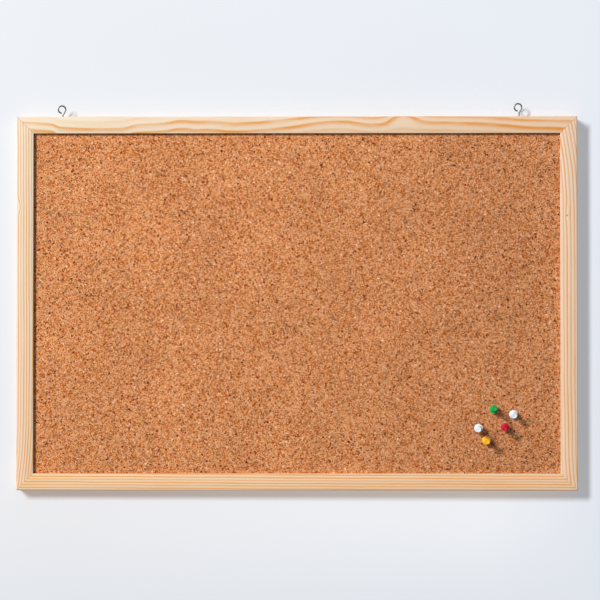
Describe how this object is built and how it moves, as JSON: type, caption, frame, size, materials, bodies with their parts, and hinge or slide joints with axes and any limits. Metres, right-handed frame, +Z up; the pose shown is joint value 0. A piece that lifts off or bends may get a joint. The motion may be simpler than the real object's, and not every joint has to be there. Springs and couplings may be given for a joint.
{
  "type": "cork pin board",
  "caption": "Wall-hung cork pin board in a mitred pine frame, with a softboard core, wire screw eyes to hang it by and moulded push pins that pull out of the cork.",
  "frame": {"origin": "middle of the top rail's back face, where the board lies against the wall", "axes": "+X to the right as seen from the room, +Y into the wall, +Z up"},
  "size_m": [0.6, 0.0307, 0.415],
  "materials": {
    "pine": "sanded pale pine, unvarnished, with orange growth lines",
    "cork": "matt agglomerated cork with dark and light granules",
    "softboard": "pressed wood fibre",
    "backing": "smooth brown fibreboard",
    "nail_steel": "plain steel strip",
    "zinc_wire": "bright zinc plating",
    "needle_steel": "drawn and polished steel",
    "green_plastic": "moulded, semi-gloss",
    "white_plastic": "moulded, semi-gloss",
    "red_plastic": "moulded, semi-gloss",
    "yellow_plastic": "moulded, semi-gloss"
  },
  "bodies": {
    "board": {"top_rail": "pine", "bottom_rail": "pine", "left_stile": "pine", "right_stile": "pine", "cork_sheet": "cork", "softboard_core": "softboard", "backing_board": "backing", "v_nail_top_left_outer": "nail_steel", "v_nail_top_left_inner": "nail_steel", "v_nail_top_right_outer": "nail_steel", "v_nail_top_right_inner": "nail_steel", "v_nail_bottom_right_outer": "nail_steel", "v_nail_bottom_right_inner": "nail_steel", "v_nail_bottom_left_outer": "nail_steel", "v_nail_bottom_left_inner": "nail_steel"},
    "left_eye": {"left_screw_eye": "zinc_wire"},
    "right_eye": {"right_screw_eye": "zinc_wire"},
    "green_pin": {"green_pin_grip": "green_plastic", "green_pin_needle": "needle_steel"},
    "upper_white_pin": {"upper_white_pin_grip": "white_plastic", "upper_white_pin_needle": "needle_steel"},
    "lower_white_pin": {"lower_white_pin_grip": "white_plastic", "lower_white_pin_needle": "needle_steel"},
    "red_pin": {"red_pin_grip": "red_plastic", "red_pin_needle": "needle_steel"},
    "yellow_pin": {"yellow_pin_grip": "yellow_plastic", "yellow_pin_needle": "needle_steel"}
  },
  "joints": [
    {"name": "left_eye_turn", "type": "hinge", "parent": "board", "child": "left_eye", "pos_m": [-0.251, -0.0118, 0.009], "axis": [0, 0, 1], "range_deg": [-90, 90]},
    {"name": "right_eye_turn", "type": "hinge", "parent": "board", "child": "right_eye", "pos_m": [0.2385, -0.0075, 0.009], "axis": [0, 0, 1], "range_deg": [-90, 90]},
    {"name": "green_pin_pull", "type": "slide", "parent": "board", "child": "green_pin", "axis": [-0.052, -0.9932, 0.1044], "range_m": [-0.0037, 0.015]},
    {"name": "upper_white_pin_pull", "type": "slide", "parent": "board", "child": "upper_white_pin", "axis": [-0.0174, -0.9974, -0.0697], "range_m": [-0.0013, 0.015]},
    {"name": "lower_white_pin_pull", "type": "slide", "parent": "board", "child": "lower_white_pin", "axis": [-0.087, -0.9948, -0.0521], "range_m": [-0.0042, 0.015]},
    {"name": "red_pin_pull", "type": "slide", "parent": "board", "child": "red_pin", "axis": [-0.13, -0.9877, -0.0864], "range_m": [-0.0032, 0.015]},
    {"name": "yellow_pin_pull", "type": "slide", "parent": "board", "child": "yellow_pin", "axis": [-0.0174, -0.9985, -0.0523], "range_m": [-0.0034, 0.015]}
  ]
}
